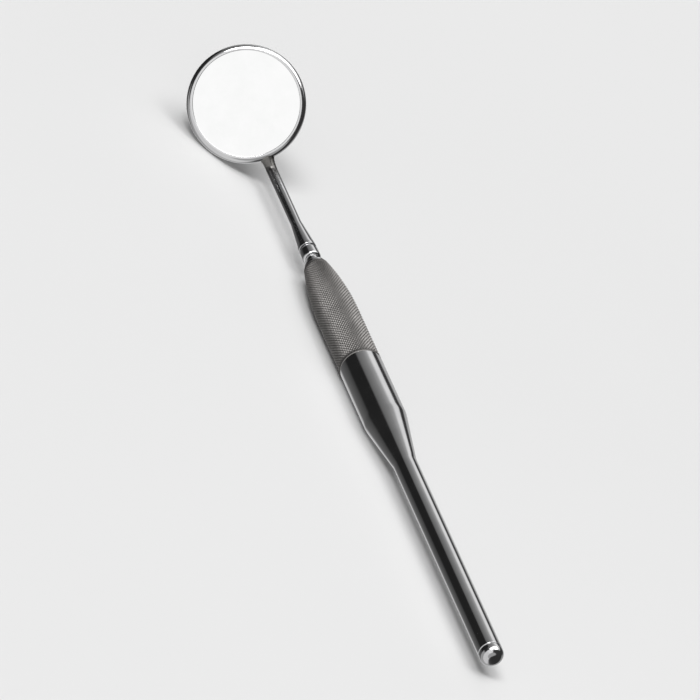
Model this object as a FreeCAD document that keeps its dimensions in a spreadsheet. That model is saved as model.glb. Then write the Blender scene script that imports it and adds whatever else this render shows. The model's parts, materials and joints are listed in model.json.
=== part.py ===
"""Dental mouth mirror: a round mirror head that screws into a hollow, knurled handle.

Frame (millimetres): the instrument lies on a table, z = 0, with the handle along +Y and
the mirror head at the +Y end.  The origin is the middle of the outline it covers on the
table.  It rests on the handle's full-width stretch and on the back edge of the cup, which
is rolled to the -X side.

The handle pieces and the stem are turned shapes.  Each is drawn in its own lengthwise
frame: local z runs along the instrument's axis from the rear tip towards the mirror,
local x points to the side that the mirror face looks to.  The pieces of the head are
turned shapes about the cup's own axis: local z = 0 is the back of the cup and local x
points away from the stem.
"""
import FreeCAD
import Part

import math
import os

import Sketcher
from FreeCAD import Placement, Rotation, Vector

# Driving dimensions, in millimetres and degrees.
SIZES = {
    # Handle, measured from its front rim backwards.
    "handle_length": 116.6,
    "grip_radius": 4.0,
    "grip_length": 31.4,
    "grip_wall": 0.8,
    "nose_length": 16.0,
    "nose_radius": 2.3,
    "barrel_length": 16.3,
    "taper_length": 12.5,
    "taper_blend": 9.0,
    "shank_radius": 2.2,
    "shank_wall": 0.8,
    "barrel_wall": 1.3,
    "spigot_length": 6.0,
    "cap_length": 2.2,
    "cap_rounding": 1.5,
    "plug_length": 5.0,
    # Threaded socket and the stud that screws into it.
    "rim_radius": 2.05,
    "rim_length": 0.8,
    "bush_radius": 1.9,
    "bush_length": 9.0,
    "thread_radius": 1.25,
    "thread_clearance": 0.05,
    "thread_pitch": 0.45,
    "thread_turns": 11.0,
    "stud_lead": 0.25,
    # Lock ring, held between the front rim and the stem's shoulder.
    "ring_length": 4.9,
    "ring_radius": 1.75,
    "ring_hub_radius": 1.45,
    "ring_bore": 1.08,
    "ring_rear_gap": 1.8,
    "ring_front_gap": 0.5,
    # Stem.
    "neck_radius": 1.0,
    "shoulder_radius": 1.7,
    "shoulder_length": 0.8,
    "cone_length": 7.4,
    "stem_radius": 1.05,
    "stem_straight": 28.8,
    "bend_radius": 2.4,
    "stub_length": 1.3,
    "solder_radius": 1.55,
    "solder_tip_radius": 1.15,
    "solder_across": 2.24,
    "solder_depth": 0.45,
    # Mirror head.
    "head_angle": 45.0,
    "cup_radius": 11.25,
    "cup_depth": 2.4,
    "cup_wall": 0.5,
    "cup_floor": 0.4,
    "cup_corner": 1.0,
    "lip_radius": 10.05,
    "lip_thickness": 0.25,
    "lip_rounding": 1.0,
    "glass_radius": 10.45,
    "glass_thickness": 1.3,
    "coating_thickness": 0.1,
    "cement_thickness": 0.35,
    "cement_radius": 10.1,
    # Where the rear end of the handle's axis stands in the frame.
    "axis_x": 6.52,
    "rear_y": -82.18,
}

SHEET = "Sizes"
ON_AXIS = 0
EDGE_TOLERANCE = 1e-4
FRAME_TOLERANCE = 0.05


class Length:
    """A length that knows its value and the spreadsheet expression that gives it."""

    def __init__(self, value, text):
        self.value = value
        self.text = text

    @staticmethod
    def of(other):
        if isinstance(other, Length):
            return other
        return Length(float(other), repr(float(other)))

    def __add__(self, other):
        other = Length.of(other)
        return Length(self.value + other.value, f"({self.text} + {other.text})")

    def __sub__(self, other):
        other = Length.of(other)
        return Length(self.value - other.value, f"({self.text} - {other.text})")

    def __mul__(self, other):
        other = Length.of(other)
        return Length(self.value * other.value, f"({self.text} * {other.text})")

    def __truediv__(self, other):
        other = Length.of(other)
        return Length(self.value / other.value, f"({self.text} / {other.text})")


def size(name):
    return Length(SIZES[name], f"{SHEET}.{name}")


def write_sheet(doc):
    """Put every driving dimension in the spreadsheet under its own alias."""
    sheet = doc.addObject("Spreadsheet::Sheet", SHEET)
    for row, (name, value) in enumerate(SIZES.items(), start=1):
        sheet.set(f"A{row}", name)
        sheet.set(f"B{row}", str(value))
        sheet.setAlias(f"B{row}", name)
    doc.recompute()


# ---------------------------------------------------------------------------
# Turned shapes
# ---------------------------------------------------------------------------

def origin_plane(body, role):
    for feature in body.Origin.OriginFeatures:
        if feature.Role == role:
            return feature
    raise ValueError(f"{body.Label} has no {role}")


def new_sketch(body, name, role):
    sketch = body.newObject("Sketcher::SketchObject", name)
    sketch.AttachmentSupport = [(origin_plane(body, role), "")]
    sketch.MapMode = "FlatFace"
    return sketch


def drive(sketch, constraint, length):
    """Add a constraint to the sketch and bind its value to the spreadsheet."""
    index = sketch.addConstraint(constraint)
    sketch.setExpression(f"Constraints[{index}]", length.text)


def end_near(sketch, curve, point):
    """Which end of a sketch curve (1 = start, 2 = end) lies at a point."""
    return min((1, 2), key=lambda end: (sketch.getPoint(curve, end) - point).Length)


def arc_through(start, end, radius):
    """The short arc from start to end whose bulge lies to the right of that direction."""
    chord = end - start
    middle = (start + end) * 0.5
    reach = math.sqrt(radius ** 2 - (chord.Length / 2) ** 2)
    side = Vector(chord.y, -chord.x, 0).normalize()
    return Part.Arc(start, middle + side * (radius - reach), end)


def turned_body(doc, label, outline, arcs=None):
    """Revolve a closed outline about local z.

    outline lists (radius, station) corners, each a Length or ON_AXIS.  arcs gives the
    radius of each side that is an arc, by the index of the corner where it starts.
    """
    arcs = arcs or {}
    body = doc.addObject("PartDesign::Body", label)
    sketch = new_sketch(body, f"{label}_outline", "XZ_Plane")
    corners = [Vector(Length.of(r).value, Length.of(z).value, 0) for r, z in outline]
    count = len(corners)
    for index, start in enumerate(corners):
        end = corners[(index + 1) % count]
        if index in arcs:
            sketch.addGeometry(arc_through(start, end, arcs[index].value))
        else:
            sketch.addGeometry(Part.LineSegment(start, end))
    for index, corner in enumerate(corners):
        before = (index - 1) % count
        end_here = end_near(sketch, index, corner)
        end_before = end_near(sketch, before, corner)
        sketch.addConstraint(Sketcher.Constraint("Coincident", before, end_before, index, end_here))
    for index, (radius, station) in enumerate(outline):
        pin_corner(sketch, index, corners[index], radius, station)
    for index, radius in arcs.items():
        drive(sketch, Sketcher.Constraint("Radius", index, radius.value), radius)
    turning = body.newObject("PartDesign::Revolution", f"{label}_turning")
    turning.Profile = sketch
    turning.ReferenceAxis = (sketch, ["V_Axis"])
    turning.Angle = 360
    sketch.Visibility = False
    doc.recompute()
    return body


def pin_corner(sketch, curve, corner, radius, station):
    """Hold one outline corner at its radius and station."""
    end = end_near(sketch, curve, corner)
    if isinstance(radius, Length):
        drive(sketch, Sketcher.Constraint("DistanceX", -1, 1, curve, end, radius.value), radius)
    else:
        sketch.addConstraint(Sketcher.Constraint("PointOnObject", curve, end, -2))
    if isinstance(station, Length):
        drive(sketch, Sketcher.Constraint("DistanceY", -1, 1, curve, end, station.value), station)
    else:
        sketch.addConstraint(Sketcher.Constraint("PointOnObject", curve, end, -1))


def round_edge(doc, body, radius, station, rounding):
    """Fillet the circular edge of a turned body at a radius and station."""
    base = body.Tip
    names = []
    for number, edge in enumerate(base.Shape.Edges, start=1):
        if not isinstance(edge.Curve, Part.Circle):
            continue
        same_radius = abs(edge.Curve.Radius - radius.value) < EDGE_TOLERANCE
        same_station = abs(edge.Curve.Center.z - Length.of(station).value) < EDGE_TOLERANCE
        if same_radius and same_station:
            names.append(f"Edge{number}")
    if not names:
        raise ValueError(f"{body.Label}: no edge at radius {radius.value}")
    fillet = body.newObject("PartDesign::Fillet", f"{body.Label}_rounding")
    fillet.Base = (base, names)
    fillet.setExpression("Radius", rounding.text)
    body.Tip = fillet
    doc.recompute()


# ---------------------------------------------------------------------------
# Handle.  Stations run from the rear tip towards the mirror.
# ---------------------------------------------------------------------------

def front_rim():
    return size("handle_length")


def knurl_end():
    return front_rim() - size("grip_length")


def barrel_end():
    return knurl_end() - size("barrel_length")


def taper_end():
    return barrel_end() - size("taper_length")


def bush_end():
    return front_rim() - size("bush_length")


def grip_tube(doc):
    """Knurled grip: a tube whose nose narrows in one long arc to the threaded bush."""
    bore = size("grip_radius") - size("grip_wall")
    nose_start = front_rim() - size("nose_length")
    nose_tip = front_rim() - size("rim_length")
    run = size("nose_length") - size("rim_length")
    drop = size("grip_radius") - size("nose_radius")
    nose_arc = (run * run + drop * drop) / (drop * 2)
    outline = [
        (bore, knurl_end()),
        (size("grip_radius"), knurl_end()),
        (size("grip_radius"), nose_start),
        (size("nose_radius"), nose_tip),
        (size("bush_radius"), nose_tip),
        (size("bush_radius"), bush_end()),
        (bore, nose_start),
    ]
    return turned_body(doc, "grip_tube", outline, {2: nose_arc})


def rear_shank(doc):
    """Polished barrel, taper and slim shank in one piece, pressed into the grip tube."""
    spigot = size("grip_radius") - size("grip_wall")
    spigot_end = knurl_end() + size("spigot_length")
    barrel_bore = size("grip_radius") - size("barrel_wall")
    shank_bore = size("shank_radius") - size("shank_wall")
    outline = [
        (shank_bore, size("cap_length")),
        (size("shank_radius"), size("cap_length")),
        (size("shank_radius"), taper_end()),
        (size("grip_radius"), barrel_end()),
        (size("grip_radius"), knurl_end()),
        (spigot, knurl_end()),
        (spigot, spigot_end),
        (barrel_bore, spigot_end),
        (barrel_bore, barrel_end()),
        (shank_bore, taper_end()),
    ]
    body = turned_body(doc, "rear_shank", outline)
    round_edge(doc, body, size("shank_radius"), taper_end(), size("taper_blend"))
    round_edge(doc, body, size("grip_radius"), barrel_end(), size("taper_blend"))
    return body


def end_plug(doc):
    """Rounded cap with a spigot that closes the slim shank."""
    spigot = size("shank_radius") - size("shank_wall")
    spigot_end = size("cap_length") + size("plug_length")
    outline = [
        (ON_AXIS, ON_AXIS),
        (size("shank_radius"), ON_AXIS),
        (size("shank_radius"), size("cap_length")),
        (spigot, size("cap_length")),
        (spigot, spigot_end),
        (ON_AXIS, spigot_end),
    ]
    body = turned_body(doc, "end_plug", outline)
    round_edge(doc, body, size("shank_radius"), ON_AXIS, size("cap_rounding"))
    return body


def socket_insert(doc):
    """Threaded bush in the grip's nose; its rim is the front end of the handle."""
    bore = size("thread_radius") + size("thread_clearance")
    rim_back = front_rim() - size("rim_length")
    outline = [
        (bore, bush_end()),
        (size("bush_radius"), bush_end()),
        (size("bush_radius"), rim_back),
        (size("rim_radius"), rim_back),
        (size("rim_radius"), front_rim()),
        (bore, front_rim()),
    ]
    return turned_body(doc, "socket_insert", outline)


# ---------------------------------------------------------------------------
# Lock ring and stem
# ---------------------------------------------------------------------------

def lock_ring(doc):
    """Ring with a narrower hub at each end, clamped between rim and shoulder."""
    front = front_rim() + size("ring_length")
    flange_back = front_rim() + size("ring_rear_gap")
    flange_front = front - size("ring_front_gap")
    outline = [
        (size("ring_bore"), front_rim()),
        (size("ring_hub_radius"), front_rim()),
        (size("ring_hub_radius"), flange_back),
        (size("ring_radius"), flange_back),
        (size("ring_radius"), flange_front),
        (size("ring_hub_radius"), flange_front),
        (size("ring_hub_radius"), front),
        (size("ring_bore"), front),
    ]
    return turned_body(doc, "lock_ring", outline)


def stem_blank(doc):
    """Stud, neck, cone shoulder and rod, with the bent end that runs into the cup."""
    engaged = size("thread_turns") * size("thread_pitch") + size("stud_lead")
    stud_tip = front_rim() - engaged
    shoulder = front_rim() + size("ring_length")
    cone_start = shoulder + size("shoulder_length")
    cone_end = cone_start + size("cone_length")
    bend_start = front_rim() + size("stem_straight")
    outline = [
        (ON_AXIS, stud_tip),
        (size("neck_radius"), stud_tip),
        (size("thread_radius"), stud_tip + size("stud_lead")),
        (size("thread_radius"), front_rim()),
        (size("neck_radius"), front_rim()),
        (size("neck_radius"), shoulder),
        (size("shoulder_radius"), shoulder),
        (size("shoulder_radius"), cone_start),
        (size("stem_radius"), cone_end),
        (size("stem_radius"), bend_start),
        (ON_AXIS, bend_start),
    ]
    body = turned_body(doc, "stem_blank", outline)
    section = new_sketch(body, "stem_section", "XY_Plane")
    section.AttachmentOffset = Placement(Vector(0, 0, bend_start.value), Rotation())
    section.setExpression("AttachmentOffset.Base.z", bend_start.text)
    section.addGeometry(Part.Circle(Vector(0, 0, 0), Vector(0, 0, 1), size("stem_radius").value))
    section.addConstraint(Sketcher.Constraint("Coincident", 0, 3, -1, 1))
    drive(section, Sketcher.Constraint("Radius", 0, size("stem_radius").value), size("stem_radius"))
    path = bend_path(body, bend_start)
    pipe = body.newObject("PartDesign::AdditivePipe", "stem_bend")
    pipe.Profile = section
    pipe.Spine = (path, ["Edge1", "Edge2"])
    body.Tip = pipe
    section.Visibility = False
    path.Visibility = False
    doc.recompute()
    return body


def bend_path(body, bend_start):
    """Centre line of the stem's bend: an arc, then a straight stub into the cup's wall."""
    path = new_sketch(body, "stem_path", "XZ_Plane")
    radius = size("bend_radius")
    turn = math.radians(SIZES["head_angle"])
    centre = Vector(radius.value, bend_start.value, 0)
    arc_start = Vector(0, bend_start.value, 0)
    arc_end = centre + Vector(-math.cos(turn), math.sin(turn), 0) * radius.value
    stub = size("stub_length") + size("cup_wall") / 2
    stub_end = arc_end + Vector(math.sin(turn), math.cos(turn), 0) * stub.value
    circle = Part.Circle(centre, Vector(0, 0, 1), radius.value)
    path.addGeometry(Part.ArcOfCircle(circle, math.pi - turn, math.pi))
    path.addGeometry(Part.LineSegment(arc_end, stub_end))
    near = end_near(path, 0, arc_start)
    far = end_near(path, 0, arc_end)
    path.addConstraint(Sketcher.Constraint("PointOnObject", 0, near, -2))
    drive(path, Sketcher.Constraint("DistanceY", -1, 1, 0, near, bend_start.value), bend_start)
    drive(path, Sketcher.Constraint("DistanceY", -1, 1, 0, 3, bend_start.value), bend_start)
    drive(path, Sketcher.Constraint("Radius", 0, radius.value), radius)
    path.addConstraint(Sketcher.Constraint("Tangent", 0, far, 1, 1))
    drive(path, Sketcher.Constraint("Distance", 1, stub.value), stub)
    angle = path.addConstraint(Sketcher.Constraint("Angle", 1, math.pi / 2 - turn))
    path.setExpression(f"Constraints[{angle}]", f"90 deg - {SHEET}.head_angle * 1 deg")
    return path


# ---------------------------------------------------------------------------
# Mirror head.  Stations run from the back of the cup to the front of its lip.
# ---------------------------------------------------------------------------

def lip_underside():
    return size("cup_depth") - size("lip_thickness")


def glass_front():
    return lip_underside() - size("coating_thickness")


def glass_back():
    return glass_front() - size("glass_thickness")


def mirror_cup(doc):
    """Stamped cup with rounded corners; its lip is rolled in over the glass."""
    inner = size("cup_radius") - size("cup_wall")
    outline = [
        (ON_AXIS, ON_AXIS),
        (size("cup_radius"), ON_AXIS),
        (size("cup_radius"), size("cup_depth")),
        (size("lip_radius"), size("cup_depth")),
        (size("lip_radius"), lip_underside()),
        (inner, lip_underside()),
        (inner, size("cup_floor")),
        (ON_AXIS, size("cup_floor")),
    ]
    body = turned_body(doc, "mirror_cup", outline)
    inner_corner = size("cup_corner") - size("cup_wall")
    round_edge(doc, body, size("cup_radius"), ON_AXIS, size("cup_corner"))
    round_edge(doc, body, inner, size("cup_floor"), inner_corner)
    round_edge(doc, body, size("cup_radius"), size("cup_depth"), size("lip_rounding"))
    return body


def disc(doc, label, radius, back, front):
    outline = [(ON_AXIS, back), (radius, back), (radius, front), (ON_AXIS, front)]
    return turned_body(doc, label, outline)


def cement_pad(doc):
    back = glass_back() - size("cement_thickness")
    return disc(doc, "cement_pad", size("cement_radius"), back, glass_back())


def mirror_glass(doc):
    return disc(doc, "mirror_glass", size("glass_radius"), glass_back(), glass_front())


def reflective_coating(doc):
    return disc(doc, "reflective_coating", size("glass_radius"), glass_front(), lip_underside())


def edge_seal(doc):
    """Sealing bead that fills the gap between the glass edge and the cup's wall."""
    inner = size("cup_radius") - size("cup_wall")
    back = size("cup_corner")
    outline = [
        (size("glass_radius"), back),
        (inner, back),
        (inner, lip_underside()),
        (size("glass_radius"), lip_underside()),
    ]
    return turned_body(doc, "edge_seal", outline)


# ---------------------------------------------------------------------------
# Placing the pieces
# ---------------------------------------------------------------------------

def head_axes():
    """The head's own x and z directions in the stem's lengthwise frame."""
    turn = math.radians(SIZES["head_angle"])
    away_from_stem = Vector(math.sin(turn), 0, math.cos(turn))
    face_normal = Vector(math.cos(turn), 0, -math.sin(turn))
    return away_from_stem, face_normal


def bend_end():
    """Where the stem's bend ends, in the stem's lengthwise frame."""
    turn = math.radians(SIZES["head_angle"])
    start = SIZES["handle_length"] + SIZES["stem_straight"]
    radius = SIZES["bend_radius"]
    return Vector(radius * (1 - math.cos(turn)), 0, start + radius * math.sin(turn))


def head_in_stem():
    """Placement of the head's frame: the stub meets the cup at half its depth."""
    away_from_stem, face_normal = head_axes()
    reach = SIZES["stub_length"] + SIZES["cup_radius"]
    back_centre = bend_end() + away_from_stem * reach - face_normal * (SIZES["cup_depth"] / 2)
    side = face_normal.cross(away_from_stem)
    return Placement(back_centre, Rotation(away_from_stem, side, face_normal, "ZXY"))


def resting_roll():
    """Roll about the axis at which the cup's back corner touches the table.

    With c the cosine of the roll, the middle of the corner's rounding stands at
    grip_radius + lever * c, and the corner reaches down from it by
    ring * sqrt(1 - (tilt * c) ** 2) + corner.
    """
    corner = SIZES["cup_corner"]
    ring = SIZES["cup_radius"] - corner
    _, face_normal = head_axes()
    lever = (head_in_stem().Base + face_normal * corner).x
    tilt = face_normal.x
    rise = SIZES["grip_radius"] - corner
    a = lever ** 2 + (ring * tilt) ** 2
    b = 2 * rise * lever
    c = rise ** 2 - ring ** 2
    cosine = (-b + math.sqrt(b ** 2 - 4 * a * c)) / (2 * a)
    return math.degrees(math.acos(cosine))


def instrument_placement():
    """Lengthwise frame to row frame: local z becomes +Y, rolled towards -X."""
    lengthwise = Rotation(Vector(0, 0, 1), Vector(1, 0, 0), Vector(0, 1, 0), "ZXY")
    roll = Rotation(Vector(0, 1, 0), -resting_roll())
    base = Vector(SIZES["axis_x"], SIZES["rear_y"], SIZES["grip_radius"])
    return Placement(base, roll * lengthwise)


def cut(doc, label, base, tool):
    """The base with the space of the tool taken away."""
    before = base.Shape.Volume
    result = doc.addObject("Part::Cut", label)
    result.Base = base
    result.Tool = tool
    doc.recompute()
    if not 0 < result.Shape.Volume < before:
        raise ValueError(f"{label}: the cut took nothing away")
    return result


def stem_solder(doc, instrument, cup, stem):
    """Collar of solder round the stub, no wider than the cup is deep, shaped to cup and stem."""
    away_from_stem, _ = head_axes()
    along_stub = instrument.multiply(
        Placement(bend_end(), Rotation(Vector(0, 0, 1), away_from_stem))
    )
    height = f"{SHEET}.stub_length + {SHEET}.solder_depth"
    collar = doc.addObject("Part::Cone", "solder_collar")
    collar.setExpression("Radius1", f"{SHEET}.solder_tip_radius")
    collar.setExpression("Radius2", f"{SHEET}.solder_radius")
    collar.setExpression("Height", height)
    collar.Placement = along_stub
    slab = doc.addObject("Part::Box", "solder_slab")
    slab.setExpression("Length", f"{SHEET}.solder_across")
    slab.setExpression("Width", f"{SHEET}.solder_radius * 2")
    slab.setExpression("Height", height)
    corner = Vector(-SIZES["solder_across"] / 2, -SIZES["solder_radius"], 0)
    slab.Placement = along_stub.multiply(Placement(corner, Rotation()))
    flattened = doc.addObject("Part::Common", "solder_flattened")
    flattened.Base = collar
    flattened.Tool = slab
    doc.recompute()
    outside_cup = cut(doc, "solder_outside_cup", flattened, cup)
    return cut(doc, "stem_solder", outside_cup, stem)


def build(doc):
    """Make every sub-part and stand it in the row frame."""
    write_sheet(doc)
    instrument = instrument_placement()
    head = instrument.multiply(head_in_stem())

    handle_pieces = [grip_tube(doc), rear_shank(doc), end_plug(doc), socket_insert(doc)]
    ring = lock_ring(doc)
    blank = stem_blank(doc)
    for body in handle_pieces + [ring, blank]:
        body.Placement = instrument

    cup = mirror_cup(doc)
    head_pieces = [cup, cement_pad(doc), mirror_glass(doc), reflective_coating(doc), edge_seal(doc)]
    for body in head_pieces:
        body.Placement = head
    doc.recompute()

    stem = cut(doc, "mirror_stem", blank, cup)
    solder = stem_solder(doc, instrument, cup, blank)
    return handle_pieces + [ring, stem, solder] + head_pieces


def check(doc, pieces):
    """Stop on any failed object, bad solid or a frame that is off its origin."""
    for thing in doc.Objects:
        if "Invalid" in thing.State or "Error" in thing.State:
            raise RuntimeError(f"{thing.Label}: {thing.State}")
    for piece in pieces:
        shape = piece.Shape
        if shape.isNull() or not shape.isValid() or len(shape.Solids) != 1:
            raise RuntimeError(f"{piece.Label}: not one valid solid")
    box = Part.makeCompound([piece.Shape for piece in pieces]).optimalBoundingBox(False, False)
    print(f"outline x {box.XMin:.3f} {box.XMax:.3f}  y {box.YMin:.3f} {box.YMax:.3f}"
          f"  z {box.ZMin:.3f} {box.ZMax:.3f}")
    offsets = (box.XMin + box.XMax, box.YMin + box.YMax, box.ZMin)
    if max(abs(offset) for offset in offsets) > 2 * FRAME_TOLERANCE:
        raise RuntimeError(f"the origin is not under the middle of the outline: {offsets}")


def main():
    doc = FreeCAD.newDocument("mouth_mirror")
    pieces = build(doc)
    check(doc, pieces)
    os.makedirs("parts", exist_ok=True)
    for piece in pieces:
        piece.Shape.exportStep(f"parts/{piece.Label}.step")
        print(f"{piece.Label}: {piece.Shape.Volume:.2f} mm3")
    print(f"resting roll {resting_roll():.3f} degrees")


main()
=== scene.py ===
"""Looks of the dental mouth mirror: fine turned meshes, real knurl and thread, steel and mirror.

Everything is in metres in the part's own frame.  A turned piece is drawn as a list of
(radius, station) corners in millimetres.  On the handle and the stem a station is the
distance from the rear tip towards the mirror; on the head it is the distance from the
back of the cup towards its lip.
"""

import json
import math

import bpy
from mathutils import Matrix, Vector


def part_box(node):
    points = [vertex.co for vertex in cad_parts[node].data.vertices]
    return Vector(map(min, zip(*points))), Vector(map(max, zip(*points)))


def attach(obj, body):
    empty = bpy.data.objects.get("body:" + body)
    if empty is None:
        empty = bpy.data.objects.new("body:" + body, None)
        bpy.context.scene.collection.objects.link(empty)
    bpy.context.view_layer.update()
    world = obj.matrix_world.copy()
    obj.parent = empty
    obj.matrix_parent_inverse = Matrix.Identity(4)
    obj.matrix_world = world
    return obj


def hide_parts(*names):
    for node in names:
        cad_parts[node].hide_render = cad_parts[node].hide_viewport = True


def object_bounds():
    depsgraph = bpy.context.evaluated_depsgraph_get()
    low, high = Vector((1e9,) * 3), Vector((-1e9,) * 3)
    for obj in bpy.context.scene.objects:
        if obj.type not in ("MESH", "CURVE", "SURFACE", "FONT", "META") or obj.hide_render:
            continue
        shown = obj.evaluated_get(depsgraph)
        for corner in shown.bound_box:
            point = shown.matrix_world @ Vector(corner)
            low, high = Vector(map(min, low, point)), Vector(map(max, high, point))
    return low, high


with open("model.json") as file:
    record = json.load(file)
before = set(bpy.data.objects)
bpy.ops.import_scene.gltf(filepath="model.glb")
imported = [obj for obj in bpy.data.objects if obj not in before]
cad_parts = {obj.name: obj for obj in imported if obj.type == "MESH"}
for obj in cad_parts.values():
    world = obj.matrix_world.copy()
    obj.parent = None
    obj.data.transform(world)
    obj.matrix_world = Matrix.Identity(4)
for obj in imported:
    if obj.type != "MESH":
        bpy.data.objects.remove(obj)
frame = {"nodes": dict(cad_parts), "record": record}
CAD_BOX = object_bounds()

MM = 0.001

# ---------------------------------------------------------------------------
# Places and sizes, read from the frame where it states them (millimetres)
# ---------------------------------------------------------------------------


def joint(name):
    """Declared joint of that name."""
    return next(j for j in frame["record"]["behaviour"]["joints"] if j["name"] == name)


def middle(node):
    """Centre of a node's box."""
    low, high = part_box(node)
    return (Vector(low) + Vector(high)) / 2


def radius_of(node):
    """Largest radius of a node turned about the handle's axis."""
    low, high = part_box(node)
    return (high[0] - low[0]) / MM / 2


AXIS = Vector(joint("head_unscrew")["pos_m"])
REAR_TIP = Vector((AXIS.x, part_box("end_plug")[0][1], AXIS.z))


def station(y):
    """Distance ahead of the rear tip."""
    return (y - REAR_TIP.y) / MM


FRONT_RIM = station(AXIS.y)
CAP_FRONT = station(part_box("rear_shank")[0][1])
KNURL_END = station(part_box("grip_tube")[0][1])
NOSE_TIP = station(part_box("grip_tube")[1][1])
BUSH_END = station(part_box("socket_insert")[0][1])
SHOULDER = station(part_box("lock_ring")[1][1])
STUD_TIP = station(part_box("mirror_stem")[0][1])

GRIP_R = radius_of("grip_tube")
SHANK_R = radius_of("end_plug")
RIM_R = radius_of("socket_insert")
RING_R = radius_of("lock_ring")

# Handle details that no box states.  SEAM is the bevel where two pieces meet.
GRIP_BORE = 3.2
NOSE_START = FRONT_RIM - 16.0
NOSE_R = 2.3
NOSE_BEVEL = 0.2
NOSE_BEVEL_DROP = 0.1
BARREL_END = KNURL_END - 16.3
TAPER_END = BARREL_END - 12.5
TAPER_BLEND = 9.0
BARREL_BORE = 2.7
SHANK_BORE = 1.4
SPIGOT_END = KNURL_END + 6.0
PLUG_END = CAP_FRONT + 5.0
CAP_ROUNDING = 1.5
SEAM = 0.12

# Bush in the grip's nose.
BUSH_R = 1.9
RIM_BACK_ROUNDING = 0.1
RIM_FRONT_ROUNDING = 0.25
COUNTERSINK = 0.2
COUNTERSINK_ROUNDING = 0.05

# Lock ring.
RING_HUB_R = 1.2
RING_BORE = 1.08
RING_REAR_GAP = 1.8
RING_FRONT_GAP = 0.5
RING_BACK_ROUNDING = 0.5
RING_FRONT_ROUNDING = 0.35
HUB_EDGE_ROUNDING = 0.06
HUB_ROOT_ROUNDING = 0.04

# Thread: a groove's half width is a share of the pitch.
THREAD_R = 1.25
BORE_R = 1.3
THREAD_PITCH = 0.45
THREAD_DEPTH = 0.22
GROOVE_HALF_WIDTH = 0.42

# Stem.
STUD_POINT_R = 0.9
STUD_POINT_LENGTH = 0.2
THREAD_FRONT = FRONT_RIM - 0.05
STUD_EDGE = FRONT_RIM - 0.04
NECK_R = 1.0
SHOULDER_R = 1.7
SHOULDER_ROUNDING = 0.12
CONE_START = SHOULDER + 0.8
CONE_END = CONE_START + 7.4
CONE_START_BLEND = 2.0
CONE_END_BLEND = 12.0
STEM_R = 1.05
BEND_START = FRONT_RIM + 28.8
BEND_R = 2.4
STUB = 1.3
HEAD_TURN = math.radians(45)

# Solder: half the size of its foot across and along the cup's wall, how far the foot is
# sunk in the wall, how uneven its edge is, how proud of the stem its thin end stands, and
# how deep inside the stem its hidden side lies.
SOLDER_FOOT_DEEP = 1.14
SOLDER_FOOT_WIDE = 1.52
SOLDER_SUNK = 0.04
SOLDER_SWELL = 0.035
SOLDER_SWELL_PHASE = 0.8
SOLDER_LAP = 0.02
SOLDER_INSIDE = 0.3

# Head, measured from the back of the cup.
CUP_R = 11.25
CUP_DEPTH = 2.4
CUP_WALL = 0.5
CUP_FLOOR = 0.4
CUP_CORNER = 1.0
CUP_INNER_CORNER = 0.5
LIP_R = 10.05
LIP_ROUNDING = 1.0
LIP_EDGE_ROUNDING = 0.1
LIP_UNDERSIDE = 2.15
LIP_UNDERSIDE_ROUNDING = 0.05
GLASS_R = 10.45
GLASS_BACK = 0.75
GLASS_BACK_ROUNDING = 0.15
GLASS_FRONT = 2.05
GLASS_FRONT_ROUNDING = 0.05

# Knurl: diamonds round the grip, their length along it, the depth of the grooves, the flat
# top's share of a diamond, the run over which the grooves fade, and the plain end strips.
# A point's crest is 1 on a diamond's flat top, 0 in a groove, and between them elsewhere.
KNURL_COUNT = 42
KNURL_LENGTH = 0.75
KNURL_DEPTH = 0.13
KNURL_FLAT = 0.3
KNURL_FADE = 0.6
KNURL_MARGIN = 0.35
PLAIN_CREST = 0.5

# Heat tint and painted shade of the stem round its soldered joint, in metres from the joint.
HEAT_AND_SHADE_NEAR = 0.002
HEAT_AND_SHADE_FAR = 0.008

# Floor and backdrop: half the floor's width in metres, and the backdrop's brightness.
FLOOR_REACH = 6.0
BACKDROP_BRIGHT = 0.85

# Camera: degrees and metres, with the lens and the sensor in millimetres.
CAMERA_AZIMUTH = -35.45
CAMERA_ELEVATION = 22.62
CAMERA_TILT = 37.25
CAMERA_DISTANCE = 1.6455
CAMERA_AIM_HEIGHT = 0.008
CAMERA_LENS = 466
CAMERA_SENSOR = 36
CAMERA_CLIP_END = 50

# ---------------------------------------------------------------------------
# Frames of the turned pieces
# ---------------------------------------------------------------------------


def axes_matrix(x_axis, z_axis, origin):
    """Local frame in metres from two directions and an origin."""
    y_axis = z_axis.cross(x_axis)
    rotation = Matrix((x_axis, y_axis, z_axis)).transposed().to_4x4()
    return Matrix.Translation(origin) @ rotation


def roll_direction():
    """Direction square to the axis, from the axis to the middle of the glass."""
    offset = middle("mirror_glass") - AXIS
    return Vector((offset.x, 0, offset.z)).normalized()


# Unit directions: along the handle, from its axis towards the head's side, from the stub
# across the head, and out of the mirror's face.
ALONG = Vector((0, 1, 0))
SIDE = roll_direction()
AWAY = ALONG * math.cos(HEAD_TURN) + SIDE * math.sin(HEAD_TURN)
FACE = SIDE * math.cos(HEAD_TURN) - ALONG * math.sin(HEAD_TURN)

INSTRUMENT = axes_matrix(SIDE, ALONG, REAR_TIP)
GLASS_MIDDLE = (GLASS_BACK + GLASS_FRONT) / 2
HEAD = axes_matrix(AWAY, FACE, middle("mirror_glass") - FACE * GLASS_MIDDLE * MM)
STUB_BASE = HEAD.translation + (FACE * CUP_DEPTH / 2 - AWAY * CUP_R) * MM
STUB_FRAME = axes_matrix(FACE, -AWAY, STUB_BASE)

# ---------------------------------------------------------------------------
# Mesh making
# ---------------------------------------------------------------------------


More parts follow.
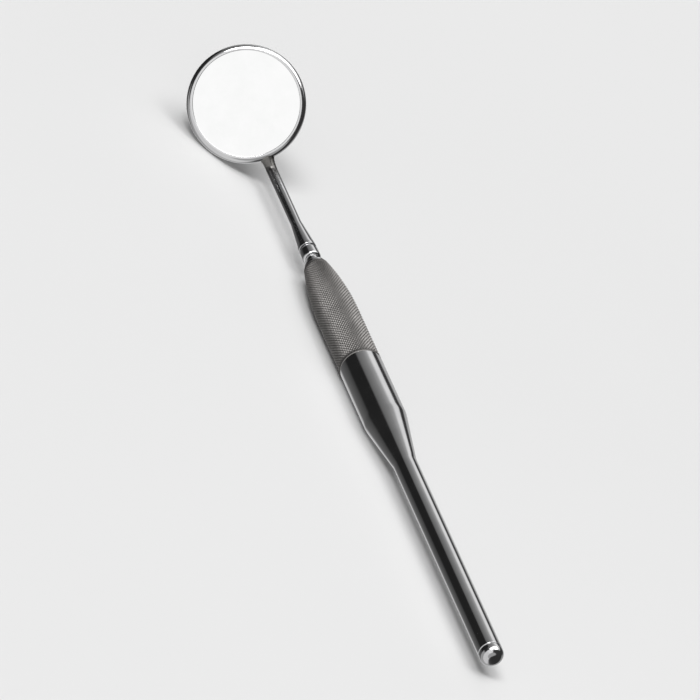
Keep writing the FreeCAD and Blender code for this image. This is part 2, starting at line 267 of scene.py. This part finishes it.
def rounded(corners, steps=8):
    """Outline points from (radius, station) corners, each with an optional rounding.

    A corner with a third number is replaced by an arc of that radius, tangent to both
    of its sides.
    """
    points = []
    count = len(corners)
    for index, corner in enumerate(corners):
        here = Vector(corner[:2])
        if len(corner) < 3:
            points.append(here)
            continue
        before = (Vector(corners[(index - 1) % count][:2]) - here).normalized()
        after = (Vector(corners[(index + 1) % count][:2]) - here).normalized()
        half = before.angle(after) / 2
        centre = here + (before + after).normalized() * corner[2] / math.sin(half)
        first = (here + before * corner[2] / math.tan(half) - centre).normalized()
        last = (here + after * corner[2] / math.tan(half) - centre).normalized()
        for step in range(steps + 1):
            points.append(centre + first.slerp(last, step / steps) * corner[2])
    return points


def new_object(name, vertices, faces, matrix, sharp=35):
    """Smooth-shaded object in the scene, with edges past an angle in degrees kept sharp."""
    mesh = bpy.data.meshes.new(name)
    mesh.from_pydata([matrix @ Vector(v) for v in vertices], [], faces)
    mesh.validate()
    mesh.shade_smooth()
    mesh.set_sharp_from_angle(angle=math.radians(sharp))
    piece = bpy.data.objects.new(name, mesh)
    bpy.context.scene.collection.objects.link(piece)
    return piece


def on_circle(radius, angle, height):
    """Vertex in metres, at a radius and height in millimetres about local z."""
    return (radius * MM * math.cos(angle), radius * MM * math.sin(angle), height * MM)


def ring(radius, height, segments):
    """Circle of vertices about local z; one vertex where the radius is zero."""
    if radius < 1e-6:
        return [(0, 0, height * MM)]
    return [on_circle(radius, 2 * math.pi * step / segments, height) for step in range(segments)]


def bridge(rings):
    """Vertices and faces of a closed chain of rings, each joined to the next."""
    vertices = [v for one in rings for v in one]
    starts = [sum(len(one) for one in rings[:index]) for index in range(len(rings))]
    faces = []
    for index, one in enumerate(rings):
        following = (index + 1) % len(rings)
        a, b = starts[index], starts[following]
        n, m = len(one), len(rings[following])
        for step in range(max(n, m)):
            ahead = step + 1
            corners = [a + step % n, a + ahead % n, b + ahead % m, b + step % m]
            face = list(dict.fromkeys(corners))
            if len(face) > 2:
                faces.append(face)
    return vertices, faces


def turned(name, corners, matrix, segments=128):
    """Closed turned solid about local z from its outline's corners."""
    rings = [ring(point.x, point.y, segments) for point in rounded(corners)]
    vertices, faces = bridge(rings)
    return new_object(name, vertices, faces, matrix)


def finish_piece(piece, body, slot, material, *nodes):
    """Hang a piece on the body it rides on, hide the CAD nodes it stands for, and give it its
    material.
    """
    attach(piece, body)
    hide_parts(*nodes)
    piece.data.materials.append(material)


# ---------------------------------------------------------------------------
# Handle
# ---------------------------------------------------------------------------


def nose_radius(at):
    """Outer radius of the grip: full width, then one long arc down to the nose."""
    if at <= NOSE_START:
        return GRIP_R
    run = NOSE_TIP - NOSE_START
    drop = GRIP_R - NOSE_R
    arc = (run * run + drop * drop) / (2 * drop)
    return GRIP_R - arc + math.sqrt(arc * arc - (at - NOSE_START) ** 2)


def knurl_depth(at, start, end):
    """Groove depth, fading out at both ends of the knurl."""
    room = min(at - start, end - at)
    return KNURL_DEPTH * min(1.0, max(0.0, room / KNURL_FADE))


class KnurlMesh:
    """Rolled diamond knurl: flat-topped pyramids between crossing grooves.

    Lattice point (i, j) is the crossing of groove i of one hand with groove j of the
    other; i + j gives its place round the grip and i - j, its row, the place along it.
    """

    def __init__(self, start, end):
        self.start = start
        self.rows = int((end - start) / (KNURL_LENGTH / 2))
        self.end = start + self.rows * KNURL_LENGTH / 2
        self.vertices, self.faces, self.crests = [], [], []
        self.crossings = {}
        for row in range(self.rows + 1):
            for step in range(KNURL_COUNT):
                self.add_diamond(2 * step + (row + 1) % 2, row)

    def add_vertex(self, radius, around, at, crest):
        """Vertex at a place counted round the grip in half diamonds."""
        self.vertices.append(on_circle(radius, math.pi * around / KNURL_COUNT, at))
        self.crests.append(crest)
        return len(self.vertices) - 1

    def point(self, around, row, crest):
        """Vertex on a row, from the bottom of a groove at crest 0 to full height at 1."""
        at = self.start + row * KNURL_LENGTH / 2
        radius = nose_radius(at) - knurl_depth(at, self.start, self.end) * (1 - crest)
        return self.add_vertex(radius, around, at, crest)

    def crossing(self, around, row):
        """Vertex where two grooves cross, made once."""
        key = (around % (2 * KNURL_COUNT), row)
        if key not in self.crossings:
            self.crossings[key] = self.point(key[0], row, 0.0)
        return self.crossings[key]

    def add_diamond(self, around, row):
        """Pyramid between four crossings; at either end of the knurl, half of a flat one."""
        left, right = self.crossing(around - 1, row), self.crossing(around + 1, row)
        if row == 0:
            self.faces.append((left, right, self.crossing(around, 1)))
            return
        if row == self.rows:
            self.faces.append((left, self.crossing(around, row - 1), right))
            return
        outer = [left, self.crossing(around, row - 1), right, self.crossing(around, row + 1)]
        inner = [
            self.point(around - KNURL_FLAT, row, 1.0),
            self.point(around, row - KNURL_FLAT, 1.0),
            self.point(around + KNURL_FLAT, row, 1.0),
            self.point(around, row + KNURL_FLAT, 1.0),
        ]
        self.faces.append(tuple(inner))
        for side in range(4):
            ahead = (side + 1) % 4
            self.faces.append((outer[side], outer[ahead], inner[ahead], inner[side]))

    def close(self, outline):
        """Join the knurl's last row to its first through plain rings of an outline."""
        odd = self.rows % 2
        loops = [[self.crossing(2 * step + odd, self.rows) for step in range(KNURL_COUNT)]]
        for radius, at in outline:
            loops.append([
                self.add_vertex(radius, 2 * step + odd, at, PLAIN_CREST)
                for step in range(KNURL_COUNT)
            ])
        first = [self.crossing(2 * step, 0) for step in range(KNURL_COUNT)]
        loops.append(first[odd:] + first[:odd])
        for one, other in zip(loops, loops[1:]):
            for step in range(KNURL_COUNT):
                ahead = (step + 1) % KNURL_COUNT
                self.faces.append((one[step], one[ahead], other[ahead], other[step]))


def knurled_grip(material):
    """Grip tube with its knurl, bullet-shaped nose and bore."""
    knurl = KnurlMesh(KNURL_END + KNURL_MARGIN, NOSE_TIP - KNURL_MARGIN)
    knurl.close([
        (nose_radius(NOSE_TIP - NOSE_BEVEL), NOSE_TIP - NOSE_BEVEL),
        (NOSE_R - NOSE_BEVEL_DROP, NOSE_TIP),
        (BUSH_R, NOSE_TIP),
        (BUSH_R, BUSH_END),
        (GRIP_BORE, NOSE_START),
        (GRIP_BORE, KNURL_END),
        (GRIP_R - SEAM, KNURL_END),
        (GRIP_R, KNURL_END + SEAM),
    ])
    piece = new_object("knurled_grip", knurl.vertices, knurl.faces, INSTRUMENT, sharp=12)
    layer = piece.data.attributes.new("crest", "FLOAT", "POINT")
    layer.data.foreach_set("value", knurl.crests)
    finish_piece(piece, "handle", "satin_steel", material, "grip_tube")


def polished_handle(material):
    """Polished barrel, taper and slim shank, hollow as the CAD piece is."""
    corners = [
        (SHANK_BORE, CAP_FRONT),
        (SHANK_R - SEAM, CAP_FRONT),
        (SHANK_R, CAP_FRONT + SEAM, SEAM),
        (SHANK_R, TAPER_END, TAPER_BLEND),
        (GRIP_R, BARREL_END, TAPER_BLEND),
        (GRIP_R, KNURL_END - SEAM, SEAM),
        (GRIP_R - SEAM, KNURL_END),
        (GRIP_BORE, KNURL_END),
        (GRIP_BORE, SPIGOT_END),
        (BARREL_BORE, SPIGOT_END),
        (BARREL_BORE, BARREL_END),
        (SHANK_BORE, TAPER_END),
    ]
    piece = turned("polished_handle", corners, INSTRUMENT, segments=160)
    finish_piece(piece, "handle", "polished_steel", material, "rear_shank")


def rear_cap(material):
    """Rounded cap pressed into the end of the shank."""
    corners = [
        (0, 0),
        (SHANK_R, 0, CAP_ROUNDING),
        (SHANK_R, CAP_FRONT - SEAM, SEAM),
        (SHANK_R - SEAM, CAP_FRONT),
        (SHANK_BORE, CAP_FRONT),
        (SHANK_BORE, PLUG_END),
        (0, PLUG_END),
    ]
    piece = turned("rear_cap", corners, INSTRUMENT)
    finish_piece(piece, "handle", "polished_steel", material, "end_plug")


def threaded_bush(material):
    """Bush whose rim closes the grip's nose, with the thread cut in its bore."""
    outside = [
        (BUSH_R, BUSH_END),
        (BUSH_R, NOSE_TIP),
        (RIM_R, NOSE_TIP, RIM_BACK_ROUNDING),
        (RIM_R, FRONT_RIM, RIM_FRONT_ROUNDING),
        (BORE_R + COUNTERSINK, FRONT_RIM, COUNTERSINK_ROUNDING),
    ]
    segments = 96
    rings = [ring(point.x, point.y, segments) for point in rounded(outside)]
    bore_front = FRONT_RIM - COUNTERSINK
    rings += thread_rings(bore_front, BUSH_END, BORE_R, BORE_R + THREAD_DEPTH, segments)
    vertices, faces = bridge(rings)
    piece = new_object("threaded_bush", vertices, faces, INSTRUMENT)
    finish_piece(piece, "handle", "polished_steel", material, "socket_insert")


def thread_rings(start, end, crest, root, segments, steps_per_turn=12):
    """Rings of a screw thread between two stations, its grooves fading out at both."""
    steps = round(abs(end - start) / THREAD_PITCH * steps_per_turn)
    rings = []
    for index in range(steps + 1):
        at = start + (end - start) * index / steps
        fade = min(1.0, min(index, steps - index) / steps_per_turn)
        one = []
        for step in range(segments):
            turn = step / segments
            phase = (at / THREAD_PITCH - turn) % 1.0
            groove = max(0.0, 1 - abs(phase - 0.5) / GROOVE_HALF_WIDTH) * fade
            one.append(on_circle(crest + (root - crest) * groove, 2 * math.pi * turn, at))
        rings.append(one)
    return rings


# ---------------------------------------------------------------------------
# Lock ring and stem
# ---------------------------------------------------------------------------


def polished_ring(material):
    """Ring with a narrower hub at each end; its edges are rounded over."""
    flange_back = FRONT_RIM + RING_REAR_GAP
    flange_front = SHOULDER - RING_FRONT_GAP
    corners = [
        (RING_BORE, FRONT_RIM),
        (RING_HUB_R, FRONT_RIM, HUB_EDGE_ROUNDING),
        (RING_HUB_R, flange_back, HUB_ROOT_ROUNDING),
        (RING_R, flange_back, RING_BACK_ROUNDING),
        (RING_R, flange_front, RING_FRONT_ROUNDING),
        (RING_HUB_R, flange_front, HUB_ROOT_ROUNDING),
        (RING_HUB_R, SHOULDER, HUB_EDGE_ROUNDING),
        (RING_BORE, SHOULDER),
    ]
    piece = turned("polished_ring", corners, INSTRUMENT, segments=96)
    finish_piece(piece, "ring", "polished_steel", material, "lock_ring")


def bend_ring(turn, ahead, radius, segments):
    """Ring square to the stem's centre line, after a turn of the bend and a run ahead."""
    middle_x = BEND_R * (1 - math.cos(turn)) + ahead * math.sin(turn)
    middle_z = BEND_START + BEND_R * math.sin(turn) + ahead * math.cos(turn)
    one = []
    for x, y, _ in ring(radius, 0, segments):
        one.append((middle_x * MM + x * math.cos(turn), y, middle_z * MM - x * math.sin(turn)))
    return one


def threaded_stem(material):
    """Stud, neck, cone shoulder, rod, bend and the stub that runs into the cup."""
    segments = 64
    bend_steps = 20
    rings = [ring(0, STUD_TIP, segments), ring(STUD_POINT_R, STUD_TIP, segments)]
    rings += thread_rings(
        STUD_TIP + STUD_POINT_LENGTH, THREAD_FRONT, THREAD_R, THREAD_R - THREAD_DEPTH, segments
    )
    turned_part = [
        (THREAD_R, STUD_EDGE),
        (NECK_R, FRONT_RIM),
        (NECK_R, SHOULDER),
        (SHOULDER_R, SHOULDER, SHOULDER_ROUNDING),
        (SHOULDER_R, CONE_START, CONE_START_BLEND),
        (STEM_R, CONE_END, CONE_END_BLEND),
        (STEM_R, BEND_START),
    ]
    rings += [ring(point.x, point.y, segments) for point in rounded(turned_part)]
    for step in range(1, bend_steps + 1):
        rings.append(bend_ring(HEAD_TURN * step / bend_steps, 0, STEM_R, segments))
    inside_wall = STUB + CUP_WALL / 2
    rings.append(bend_ring(HEAD_TURN, inside_wall, STEM_R, segments))
    rings.append(bend_ring(HEAD_TURN, inside_wall, 0, segments))
    vertices, faces = bridge(rings)
    piece = new_object("threaded_stem", vertices, faces, INSTRUMENT)
    finish_piece(piece, "head", "polished_steel", material, "mirror_stem")


def cup_surface(x, y):
    """Height of the cup's rounded wall in the stub's frame, in millimetres.

    x points towards the mirror's face and y along the wall.
    """
    rounding = LIP_ROUNDING if x > 0 else CUP_CORNER
    beyond = max(abs(x) - (CUP_DEPTH / 2 - rounding), 0)
    wall_r = CUP_R - rounding + math.sqrt(rounding ** 2 - beyond ** 2)
    return math.sqrt(wall_r ** 2 - y ** 2) - CUP_R


def solder_fillet(material):
    """Hollow-sided collar of solder, flowed from the stub onto the cup's rounded wall."""
    segments = 96
    steps = 16
    foot = []
    for step in range(segments):
        angle = 2 * math.pi * step / segments
        uneven = math.sin(3 * angle + SOLDER_SWELL_PHASE) * math.sin(2 * angle)
        swell = 1 + SOLDER_SWELL * uneven
        x = SOLDER_FOOT_DEEP * swell * math.cos(angle)
        y = SOLDER_FOOT_WIDE * swell * math.sin(angle)
        foot.append(Vector((x, y, cup_surface(x, y) - SOLDER_SUNK)) * MM)
    top = [Vector(point) for point in ring(STEM_R + SOLDER_LAP, STUB, segments)]
    inside_r = STEM_R - SOLDER_INSIDE
    rings = [ring(inside_r, -CUP_WALL / 2, segments)]
    for step in range(steps + 1):
        turn = step / steps * math.pi / 2
        shares = Vector((math.sin(turn), math.sin(turn), 1 - math.cos(turn)))
        rings.append([low + (high - low) * shares for low, high in zip(foot, top)])
    rings.append(ring(inside_r, STUB, segments))
    vertices, faces = bridge(rings)
    piece = new_object("solder_fillet", vertices, faces, STUB_FRAME)
    finish_piece(piece, "head", "silver_solder", material, "stem_solder")


# ---------------------------------------------------------------------------
# Mirror head
# ---------------------------------------------------------------------------


def cup_shell(material):
    """Stamped cup whose rolled lip holds the glass."""
    inner = CUP_R - CUP_WALL
    corners = [
        (0, 0),
        (CUP_R, 0, CUP_CORNER),
        (CUP_R, CUP_DEPTH, LIP_ROUNDING),
        (LIP_R, CUP_DEPTH, LIP_EDGE_ROUNDING),
        (LIP_R, LIP_UNDERSIDE, LIP_UNDERSIDE_ROUNDING),
        (inner, LIP_UNDERSIDE),
        (inner, CUP_FLOOR, CUP_INNER_CORNER),
        (0, CUP_FLOOR),
    ]
    piece = turned("cup_shell", corners, HEAD, segments=192)
    finish_piece(piece, "head", "polished_steel", material, "mirror_cup")


def glass_disc(material):
    """Ground glass that carries the reflecting layer."""
    corners = [
        (0, GLASS_BACK),
        (GLASS_R, GLASS_BACK, GLASS_BACK_ROUNDING),
        (GLASS_R, GLASS_FRONT, GLASS_FRONT_ROUNDING),
        (0, GLASS_FRONT),
    ]
    piece = turned("glass_disc", corners, HEAD, segments=192)
    finish_piece(piece, "head", "glass", material, "mirror_glass")


def mirror_face(material):
    """Thin metal layer on the front of the glass: the face that reflects."""
    corners = [
        (0, GLASS_FRONT),
        (GLASS_R, GLASS_FRONT),
        (GLASS_R, LIP_UNDERSIDE),
        (0, LIP_UNDERSIDE),
    ]
    piece = turned("mirror_face", corners, HEAD, segments=192)
    finish_piece(piece, "head", "mirror_coating", material, "reflective_coating")


# ---------------------------------------------------------------------------
# Materials
# ---------------------------------------------------------------------------


class Shader:
    """A Principled material with short calls for its nodes."""

    def __init__(self, name):
        self.material = bpy.data.materials.new(name)
        self.material.use_nodes = True
        self.tree = self.material.node_tree
        self.main = self.tree.nodes["Principled BSDF"]

    def node(self, kind, **inputs):
        made = self.tree.nodes.new(kind)
        for name, value in inputs.items():
            made.inputs[name.replace("_", " ")].default_value = value
        return made

    def link(self, output, target):
        self.tree.links.new(output, target)

    def set(self, **inputs):
        for name, value in inputs.items():
            self.main.inputs[name.replace("_", " ")].default_value = value

    def place(self, stretch=(1, 1, 1)):
        """Object coordinates, stretched by a factor along each axis."""
        coordinates = self.node("ShaderNodeTexCoord")
        mapping = self.node("ShaderNodeMapping", Scale=stretch)
        self.link(coordinates.outputs["Object"], mapping.inputs["Vector"])
        return mapping.outputs["Vector"]

    def distance(self, point):
        """Distance from a point of the frame."""
        made = self.tree.nodes.new("ShaderNodeVectorMath")
        made.operation = "DISTANCE"
        self.link(self.place(), made.inputs[0])
        made.inputs[1].default_value = point
        return made.outputs["Value"]

    def noise(self, scale, detail=4.0, roughness=0.5, stretch=(1, 1, 1)):
        made = self.node("ShaderNodeTexNoise", Scale=scale, Detail=detail, Roughness=roughness)
        self.link(self.place(stretch), made.inputs["Vector"])
        return made.outputs["Fac"]

    def ramp(self, source, low, high, start=0.3, end=0.7):
        """Colour between low and high as the source goes from start to end."""
        made = self.node("ShaderNodeValToRGB")
        made.color_ramp.elements[0].position = start
        made.color_ramp.elements[0].color = (*low, 1)
        made.color_ramp.elements[1].position = end
        made.color_ramp.elements[1].color = (*high, 1)
        self.link(source, made.inputs["Fac"])
        return made.outputs["Color"]

    def span(self, source, low, high, start=0.3, end=0.7):
        """Number between low and high as the source goes from start to end."""
        made = self.tree.nodes.new("ShaderNodeMapRange")
        made.inputs["From Min"].default_value = start
        made.inputs["From Max"].default_value = end
        made.inputs["To Min"].default_value = low
        made.inputs["To Max"].default_value = high
        self.link(source, made.inputs["Value"])
        return made.outputs["Result"]

    def mix(self, share, low, high):
        made = self.tree.nodes.new("ShaderNodeMix")
        made.data_type = "RGBA"
        self.link(share, made.inputs["Factor"])
        self.link(low, made.inputs["A"])
        self.link(high, made.inputs["B"])
        return made.outputs["Result"]

    def add(self, one, other):
        made = self.tree.nodes.new("ShaderNodeMath")
        made.operation = "ADD"
        self.link(one, made.inputs[0])
        self.link(other, made.inputs[1])
        return made.outputs["Value"]

    def surface(self, colour, rough):
        self.link(colour, self.main.inputs["Base Color"])
        self.link(rough, self.main.inputs["Roughness"])

    def bump(self, height, strength, distance):
        """Relief of a distance in metres."""
        made = self.node("ShaderNodeBump", Strength=strength, Distance=distance)
        self.link(height, made.inputs["Height"])
        self.link(made.outputs["Normal"], self.main.inputs["Normal"])


def bare_metal(name):
    shader = Shader(name)
    shader.set(Metallic=1.0)
    return shader


def polished_steel(name="polished_steel", soldered_at=None):
    """Stainless steel polished bright: fine lathe lines and faint smears.

    Round a soldered joint it is darker and duller: heat tint, deepened with painted shade.
    """
    shader = bare_metal(name)
    tint = shader.noise(160, detail=3)
    colour = shader.ramp(tint, (0.62, 0.62, 0.63), (0.72, 0.72, 0.72))
    lathe = shader.noise(900, detail=3, stretch=(0.12, 6, 0.12))
    smear = shader.noise(220, detail=5, roughness=0.6)
    rough = shader.add(shader.span(lathe, 0.05, 0.1), shader.span(smear, 0.0, 0.07))
    if soldered_at:
        away = shader.distance(soldered_at)
        # Darker near the joint: heat tint, deepened with painted shade of the junction.
        heat_tint_and_shade = shader.ramp(tint, (0.09, 0.087, 0.084), (0.16, 0.155, 0.15))
        colour = shader.mix(shader.span(away, 0.0, 1.0, HEAT_AND_SHADE_NEAR, HEAT_AND_SHADE_FAR), heat_tint_and_shade, colour)
        rough = shader.add(rough, shader.span(away, 0.22, 0.0, HEAT_AND_SHADE_NEAR, HEAT_AND_SHADE_FAR))
    shader.surface(colour, rough)
    shader.bump(lathe, strength=0.05, distance=0.00002)
    return shader.material


def satin_steel():
    """Blasted and knurled steel: grooves painted darker as shade, crests a little brighter from
    wear.
    """
    shader = bare_metal("satin_steel")
    cloud = shader.noise(350, detail=5, roughness=0.6)
    grain = shader.noise(5000, detail=2)
    # Groove colour is painted shade in the knurl's grooves; crest colour is steel worn brighter.
    groove = shader.ramp(cloud, (0.15, 0.144, 0.14), (0.21, 0.203, 0.197))
    crest = shader.ramp(cloud, (0.29, 0.28, 0.272), (0.38, 0.367, 0.356))
    # Mixed by the mesh's crest value: painted groove shade at 0, worn crest at 1.
    crest_wear_and_shade = shader.node("ShaderNodeAttribute")
    crest_wear_and_shade.attribute_name = "crest"
    colour = shader.mix(crest_wear_and_shade.outputs["Fac"], groove, crest)
    shader.surface(colour, shader.span(grain, 0.46, 0.6))
    shader.bump(grain, strength=0.25, distance=0.00001)
    return shader.material


def silver_solder():
    """Solder darkened by the torch and by painted shade at the stem's joint, with a cloudy,
    slightly rippled skin.
    """
    shader = bare_metal("silver_solder")
    cloud = shader.noise(900, detail=4)
    # Dark colour: torch oxide, deepened with painted shade of the junction.
    colour = shader.ramp(cloud, (0.13, 0.127, 0.12), (0.27, 0.262, 0.25))
    shader.surface(colour, shader.span(cloud, 0.22, 0.4))
    shader.bump(cloud, strength=0.3, distance=0.00004)
    return shader.material


def mirror_coating():
    """Bright front-surface mirror with the faintest wiping haze."""
    shader = bare_metal("mirror_coating")
    haze = shader.noise(260, detail=5, roughness=0.65)
    colour = shader.ramp(haze, (0.93, 0.935, 0.93), (0.97, 0.97, 0.97))
    shader.surface(colour, shader.span(haze, 0.0, 0.03, start=0.45, end=0.8))
    return shader.material


def ground_glass():
    """Greenish glass, dulled where it was ground."""
    shader = Shader("ground_glass")
    shader.set(Transmission_Weight=1.0, IOR=1.52)
    cloud = shader.noise(700, detail=3)
    colour = shader.ramp(cloud, (0.86, 0.93, 0.9), (0.92, 0.97, 0.95))
    shader.surface(colour, shader.span(cloud, 0.02, 0.12))
    return shader.material


def grainy(name, low, high, scale, rough):
    """Dull filler such as cement or sealant, mottled between two colours."""
    shader = Shader(name)
    cloud = shader.noise(scale, detail=6)
    shader.surface(shader.ramp(cloud, low, high), shader.span(cloud, rough - 0.1, rough + 0.1))
    shader.bump(cloud, strength=0.3, distance=0.00005)
    return shader.material


def dress_node(name, material):
    """Give a CAD node that stays its own material."""
    node = frame["nodes"][name]
    node.data.materials.clear()
    node.data.materials.append(material)


# ---------------------------------------------------------------------------
# Floor, light and camera
# ---------------------------------------------------------------------------


def pale_floor():
    """Pale table top.

    Reflections pass through it to the studio's lower strips, which stand for the dark, open
    tray that such an instrument lies over.
    """
    reach = FLOOR_REACH
    mesh = bpy.data.meshes.new("floor")
    corners = [(-reach, -reach, 0), (reach, -reach, 0), (reach, reach, 0), (-reach, reach, 0)]
    mesh.from_pydata(corners, [], [(0, 1, 2, 3)])
    floor = bpy.data.objects.new("floor", mesh)
    bpy.context.scene.collection.objects.link(floor)
    floor.visible_glossy = False
    shader = Shader("pale_floor")
    colour = shader.ramp(shader.noise(3, detail=3), (0.7, 0.7, 0.7), (0.72, 0.72, 0.72))
    shader.link(colour, shader.main.inputs["Base Color"])
    shader.set(Roughness=0.9, Specular_IOR_Level=0.1)
    floor.data.materials.append(shader.material)


# The studio's strips, in three sets along the handle: the angle round its direction, in
# degrees from -X up over +Z, and the brightness there.
BANDS_AHEAD = [
    (-140, 0.7),
    (-106, 0.6),
    (-90, 0.17),
    (-35, 0.07),
    (-27, 0.02),
    (36, 0.02),
    (44, 0.16),
    (75, 0.28),
    (95, 0.45),
    (108, 0.95),
    (128, 0.95),
    (136, 0.05),
    (156, 0.05),
    (166, 0.5),
    (212, 0.5),
]
BANDS_BESIDE = [
    (-140, 0.5),
    (-12, 0.4),
    (0, 0.03),
    (28, 0.03),
    (36, 0.2),
    (50, 0.22),
    (60, 0.35),
    (100, 0.65),
    (128, 0.65),
    (136, 0.05),
    (168, 0.05),
    (178, 0.35),
    (212, 0.5),
]
BANDS_BEHIND = [
    (-142, 0.04),
    (-125, 0.1),
    (-110, 0.8),
    (10, 0.8),
    (26, 1.0),
    (66, 1.0),
    (76, 0.05),
    (214, 0.04),
]
# Angle at which every set starts, and between two sets the y of a direction, from 1 straight
# ahead to -1 straight behind, where the change starts and ends.
BAND_START = -144.0
AHEAD_TO_BESIDE = (0.5, 0.35)
BESIDE_TO_BEHIND = (-0.15, -0.3)
BEHIND_TO_REAR = (-0.88, -0.93)
REAR_BRIGHT = 0.45


def grey(bright):
    return (bright, bright, bright, 1)


def studio_world():
    """Long light and dark strips along the handle, ahead of it, beside it and behind it.

    Straight behind there is one plain patch, and the camera sees a plain backdrop.
    """
    world = bpy.data.worlds.new("studio")
    bpy.context.scene.world = world
    world.use_nodes = True
    tree = world.node_tree

    def join(source, target):
        """Link an output to an input, or set the input to a plain value."""
        if isinstance(source, bpy.types.NodeSocket):
            tree.links.new(source, target)
        else:
            target.default_value = source

    def calculate(operation, *operands):
        made = tree.nodes.new("ShaderNodeMath")
        made.operation = operation
        for operand, target in zip(operands, made.inputs):
            join(operand, target)
        return made.outputs["Value"]

    def band_ramp(turn, bands):
        ramp = tree.nodes.new("ShaderNodeValToRGB")
        join(turn, ramp.inputs["Fac"])
        stops = ramp.color_ramp.elements
        while len(stops) < len(bands):
            stops.new(0.5)
        for stop, (degrees, bright) in zip(stops, bands):
            stop.position = (degrees - BAND_START) / 360
            stop.color = grey(bright)
        return ramp.outputs["Color"]

    def blend(share, low, high):
        made = tree.nodes.new("ShaderNodeMix")
        made.data_type = "RGBA"
        join(share, made.inputs["Factor"])
        join(low, made.inputs["A"])
        join(high, made.inputs["B"])
        return made.outputs["Result"]

    def step_along(value, start, end):
        made = tree.nodes.new("ShaderNodeMapRange")
        made.interpolation_type = "SMOOTHSTEP"
        made.inputs["From Min"].default_value = start
        made.inputs["From Max"].default_value = end
        join(value, made.inputs["Value"])
        return made.outputs["Result"]

    coordinates = tree.nodes.new("ShaderNodeTexCoord")
    split = tree.nodes.new("ShaderNodeSeparateXYZ")
    join(coordinates.outputs["Generated"], split.inputs["Vector"])
    x, y, z = (split.outputs[name] for name in "XYZ")

    angle = calculate("ARCTAN2", z, calculate("MULTIPLY", x, -1.0))
    turn = calculate("ADD", calculate("DIVIDE", angle, 2 * math.pi), 1 - BAND_START / 360)
    turn = calculate("FRACT", turn)
    ahead, beside, behind = (
        band_ramp(turn, bands) for bands in (BANDS_AHEAD, BANDS_BESIDE, BANDS_BEHIND)
    )
    strips = blend(step_along(y, *AHEAD_TO_BESIDE), ahead, beside)
    strips = blend(step_along(y, *BESIDE_TO_BEHIND), strips, behind)
    strips = blend(step_along(y, *BEHIND_TO_REAR), strips, grey(REAR_BRIGHT))

    seen = tree.nodes.new("ShaderNodeLightPath")
    shown = blend(seen.outputs["Is Camera Ray"], strips, grey(BACKDROP_BRIGHT))
    join(shown, tree.nodes["Background"].inputs["Color"])


def soft_light(name, towards, spread, strength):
    """Far-off softbox in one direction, spread degrees across, so the floor is lit evenly."""
    data = bpy.data.lights.new(name, "SUN")
    data.angle = math.radians(spread)
    data.energy = strength
    light = bpy.data.objects.new(name, data)
    light.rotation_euler = (-Vector(towards)).to_track_quat("-Z", "Y").to_euler()
    bpy.context.scene.collection.objects.link(light)


def long_lens_camera():
    """Camera from behind the handle on the mirror side, tilted as a hand holds it."""
    azimuth, elevation = math.radians(CAMERA_AZIMUTH), math.radians(CAMERA_ELEVATION)
    low, high = CAD_BOX
    target = Vector(((low[0] + high[0]) / 2, (low[1] + high[1]) / 2, CAMERA_AIM_HEIGHT))
    back = Vector((
        math.sin(azimuth) * math.cos(elevation),
        -math.cos(azimuth) * math.cos(elevation),
        math.sin(elevation),
    ))
    data = bpy.data.cameras.new("camera")
    data.sensor_width = CAMERA_SENSOR
    data.lens = CAMERA_LENS
    data.clip_end = CAMERA_CLIP_END
    camera = bpy.data.objects.new("camera", data)
    camera.location = target + back * CAMERA_DISTANCE
    camera.rotation_mode = "QUATERNION"
    level = (-back).to_track_quat("-Z", "Y")
    tilt = Matrix.Rotation(math.radians(CAMERA_TILT), 3, "Z").to_quaternion()
    camera.rotation_quaternion = level @ tilt
    bpy.context.scene.collection.objects.link(camera)
    bpy.context.scene.camera = camera


# ---------------------------------------------------------------------------
# The whole scene
# ---------------------------------------------------------------------------


def build():
    """Every piece, then the floor, the light and the camera."""
    steel = polished_steel()
    knurled_grip(satin_steel())
    polished_handle(steel)
    rear_cap(steel)
    threaded_bush(steel)
    polished_ring(steel)
    threaded_stem(polished_steel("heat_tinted_and_shaded_steel", soldered_at=STUB_BASE))
    solder_fillet(silver_solder())
    cup_shell(steel)
    glass_disc(ground_glass())
    mirror_face(mirror_coating())
    cement = grainy("cement", (0.7, 0.68, 0.6), (0.85, 0.83, 0.77), scale=1500, rough=0.8)
    dress_node("cement_pad", cement)
    sealant = grainy("sealant", (0.03, 0.03, 0.032), (0.06, 0.06, 0.062), scale=1200, rough=0.6)
    dress_node("edge_seal", sealant)
    pale_floor()
    studio_world()
    soft_light("key", towards=(-0.7, -0.2, 1.0), spread=23, strength=1.45)
    soft_light("ceiling", towards=(0, 0, 1.0), spread=50, strength=1.3)
    bpy.context.scene.view_settings.view_transform = "Standard"
    long_lens_camera()


build()
